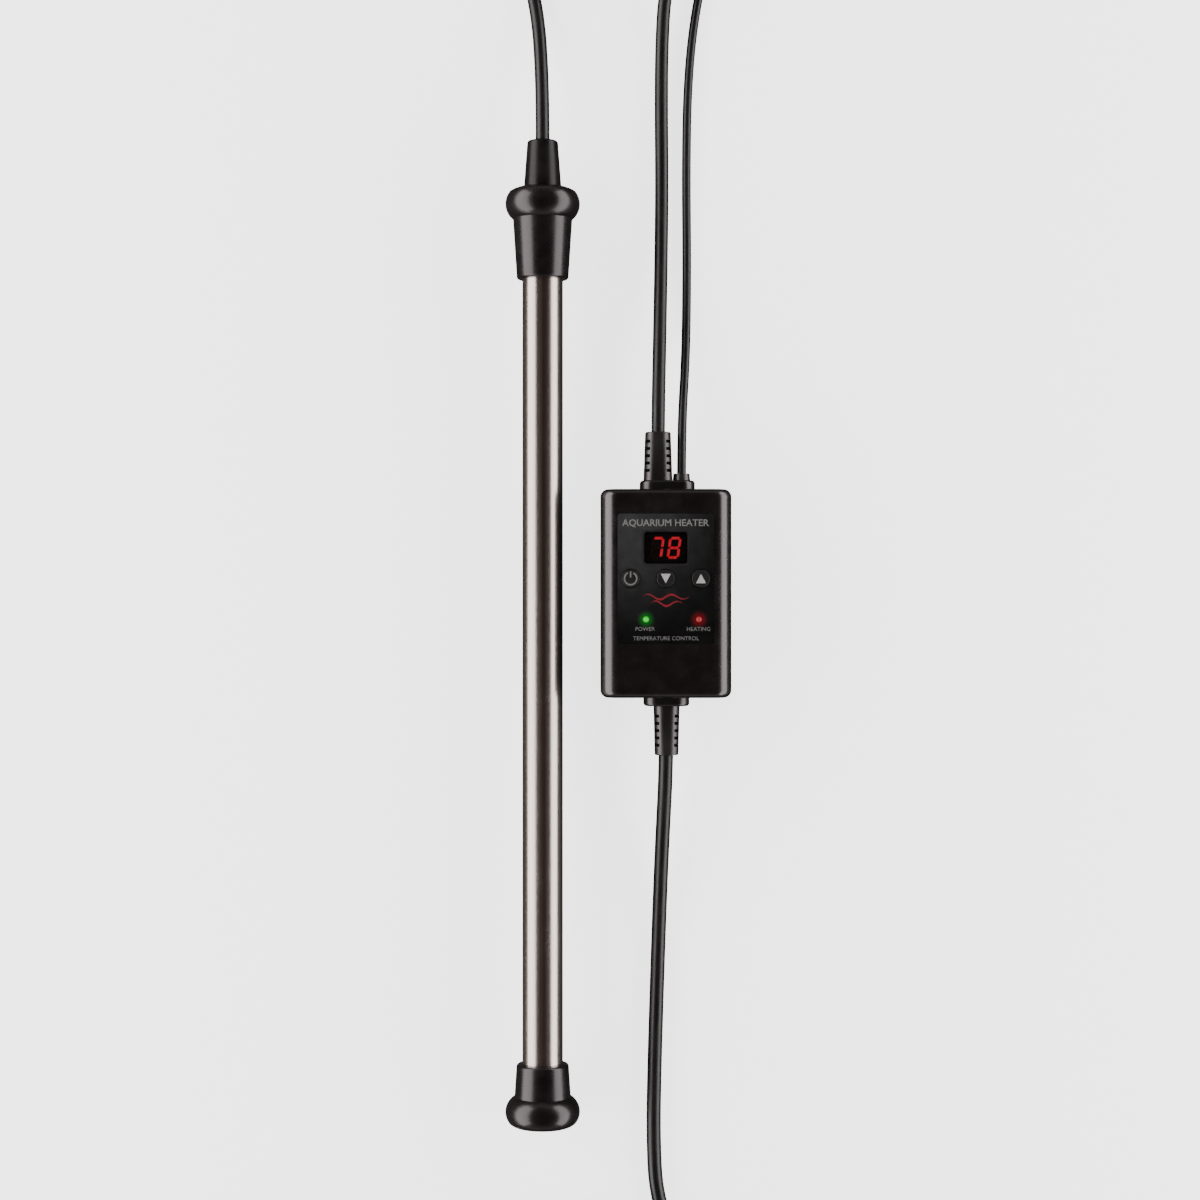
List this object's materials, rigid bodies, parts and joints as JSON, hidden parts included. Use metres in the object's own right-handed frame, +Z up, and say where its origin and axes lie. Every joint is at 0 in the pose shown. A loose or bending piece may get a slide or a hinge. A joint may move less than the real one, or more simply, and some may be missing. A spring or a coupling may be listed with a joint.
{
  "type": "submersible aquarium heater",
  "caption": "Titanium rod aquarium heater with moulded end caps, joined by a cord to a digital controller box with push keys, a sensor probe lead and a mains lead with its plug.",
  "frame": {"origin": "middle, to within 1 mm, of the bottom of the rod and the controller together, on the surface that they lie on", "axes": "+Y along the rod towards its cord end, +X from the rod to the controller, +Z up out of the controller's front face"},
  "size_m": [0.1047, 0.8047, 0.0294],
  "materials": {
    "titanium": "satin",
    "ceramic": "matte",
    "magnesia": "matte",
    "resistance_wire": "satin",
    "tinned_metal": "satin",
    "core_insulation": "satin",
    "potting": "matte",
    "seal_rubber": "matte",
    "cap_plastic": "semi-gloss",
    "relief_rubber": "satin",
    "housing_plastic": "semi-gloss",
    "screw_steel": "satin",
    "overlay_print": "satin",
    "window_glass": "gloss",
    "display_black": "matte",
    "digit_red": "lit",
    "digit_dark": "matte",
    "key_plastic": "satin",
    "switch_plastic": "matte",
    "lamp_green": "lit",
    "lamp_red": "lit",
    "board_green": "satin",
    "component_black": "matte",
    "relay_blue": "satin",
    "core_steel": "satin",
    "terminal_green": "satin",
    "cord_sheath": "satin",
    "probe_plastic": "satin",
    "plug_plastic": "satin",
    "brass_plated": "nickel plated"
  },
  "bodies": {
    "heater_and_controller": {"capacitors": "component_black", "ceramic_core": "ceramic", "ceramic_spacers": "ceramic", "circuit_board": "board_green", "controller_chip": "component_black", "core_wires": "core_insulation", "display_lens": "window_glass", "display_lit_segments": "digit_red", "display_module": "display_black", "display_unlit_segments": "digit_dark", "foot_cap": "cap_plastic", "fuse": "ceramic", "head_cap": "cap_plastic", "head_strain_relief": "relief_rubber", "heater_lead_box_end": "cord_sheath", "heater_lead_coil": "cord_sheath", "heater_lead_relief": "relief_rubber", "heater_lead_rod_end": "cord_sheath", "heating_winding": "resistance_wire", "housing_back": "housing_plastic", "housing_front": "housing_plastic", "housing_screws": "screw_steel", "housing_seal": "seal_rubber", "lamp_green": "lamp_green", "lamp_red": "lamp_red", "low_gland_plate": "housing_plastic", "magnesia_fill": "magnesia", "mains_lead": "cord_sheath", "mains_lead_coil": "cord_sheath", "mains_lead_relief": "relief_rubber", "mains_lead_tail": "cord_sheath", "overlay_label": "overlay_print", "plug_blades": "brass_plated", "plug_body": "plug_plastic", "plug_earth_pin": "brass_plated", "plug_relief": "relief_rubber", "potting_plug": "potting", "probe_sleeve": "relief_rubber", "relay": "relay_blue", "sealing_rings": "seal_rubber", "sensor_lead": "cord_sheath", "sensor_lead_coil": "cord_sheath", "sensor_lead_grommet": "relief_rubber", "sensor_lead_tail": "cord_sheath", "sensor_probe": "probe_plastic", "supply_wires": "core_insulation", "switch_bodies": "switch_plastic", "tail_crimp": "tinned_metal", "terminal_blocks": "terminal_green", "thermal_cutout": "tinned_metal", "titanium_tube": "titanium", "top_gland_plate": "housing_plastic", "transformer": "core_steel", "winding_tails": "resistance_wire"},
    "power_key": {"key_power": "key_plastic", "plunger_power": "switch_plastic"},
    "down_key": {"key_down": "key_plastic", "plunger_down": "switch_plastic"},
    "up_key": {"key_up": "key_plastic", "plunger_up": "switch_plastic"}
  },
  "joints": [
    {"name": "power_key_press", "type": "slide", "parent": "heater_and_controller", "child": "power_key", "axis": [0, 0, -1], "range_m": [0, 0.0005], "stiffness_N_per_m": 1500, "springref_m": -0.0002},
    {"name": "down_key_press", "type": "slide", "parent": "heater_and_controller", "child": "down_key", "axis": [0, 0, -1], "range_m": [0, 0.0005], "stiffness_N_per_m": 1500, "springref_m": -0.0002},
    {"name": "up_key_press", "type": "slide", "parent": "heater_and_controller", "child": "up_key", "axis": [0, 0, -1], "range_m": [0, 0.0005], "stiffness_N_per_m": 1500, "springref_m": -0.0002}
  ]
}
